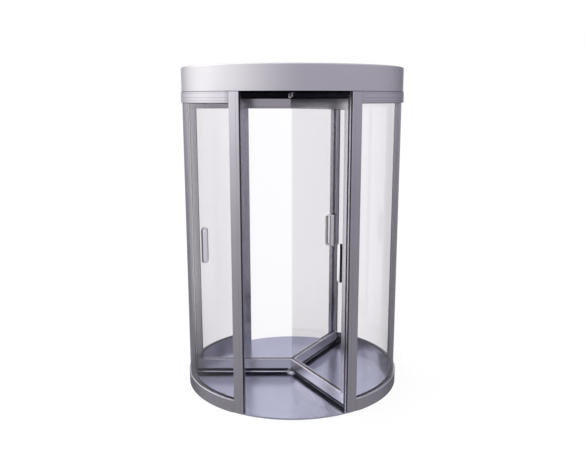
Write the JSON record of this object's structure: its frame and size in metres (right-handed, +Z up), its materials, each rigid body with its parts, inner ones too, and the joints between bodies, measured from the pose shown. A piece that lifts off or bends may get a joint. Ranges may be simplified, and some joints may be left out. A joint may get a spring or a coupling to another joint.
{
  "type": "revolving door",
  "caption": "Round revolving door: a drum of curved glass walls with two doorways under a flat canopy, and a glazed rotor that turns on floor and ceiling pivots.",
  "frame": {"origin": "middle of the drum on the floor, on the rotor's axis", "axes": "+Z up along the rotor's axis, -Y out of the front doorway, +X to the right seen from the front"},
  "size_m": [1.712, 1.703, 2.5],
  "materials": {
    "frame": "satin anodised, fine vertical grain",
    "canopy": "satin anodised sheet, rolled edge",
    "floor_plate": "fine satin, softly reflecting",
    "pivots": "polished",
    "handles": "polished",
    "seals": "matte black brush and rubber",
    "ceiling": "matte black",
    "glass": "clear, slightly cool"
  },
  "bodies": {
    "drum": {"floor_plate": "floor_plate", "floor_bearing": "pivots", "left_front_post": "frame", "right_front_post": "frame", "left_rear_post": "frame", "right_rear_post": "frame", "left_mullion": "frame", "right_mullion": "frame", "left_base_rail": "frame", "right_base_rail": "frame", "left_head_rail": "frame", "right_head_rail": "frame", "left_front_glass": "glass", "left_rear_glass": "glass", "right_front_glass": "glass", "right_rear_glass": "glass", "canopy_fascia": "canopy", "canopy_roof": "canopy", "ceiling_panel": "ceiling", "ceiling_bearing": "frame"},
    "rotor": {"bottom_pivot": "pivots", "top_pivot": "pivots", "wing_1_top_rail": "frame", "wing_1_bottom_rail": "frame", "wing_1_stile": "frame", "wing_1_glass": "glass", "wing_1_seals": "seals", "wing_1_handle": "handles", "wing_1_push_plate": "handles", "wing_2_top_rail": "frame", "wing_2_bottom_rail": "frame", "wing_2_stile": "frame", "wing_2_glass": "glass", "wing_2_seals": "seals", "wing_2_handle": "handles", "wing_2_push_plate": "handles", "wing_3_top_rail": "frame", "wing_3_bottom_rail": "frame", "wing_3_stile": "frame", "wing_3_glass": "glass", "wing_3_seals": "seals", "wing_3_handle": "handles", "wing_3_push_plate": "handles"}
  },
  "joints": [
    {"name": "rotor_spin", "type": "hinge", "parent": "drum", "child": "rotor", "pos_m": [0, 0, 0], "axis": [0, 0, 1], "continuous": true}
  ]
}
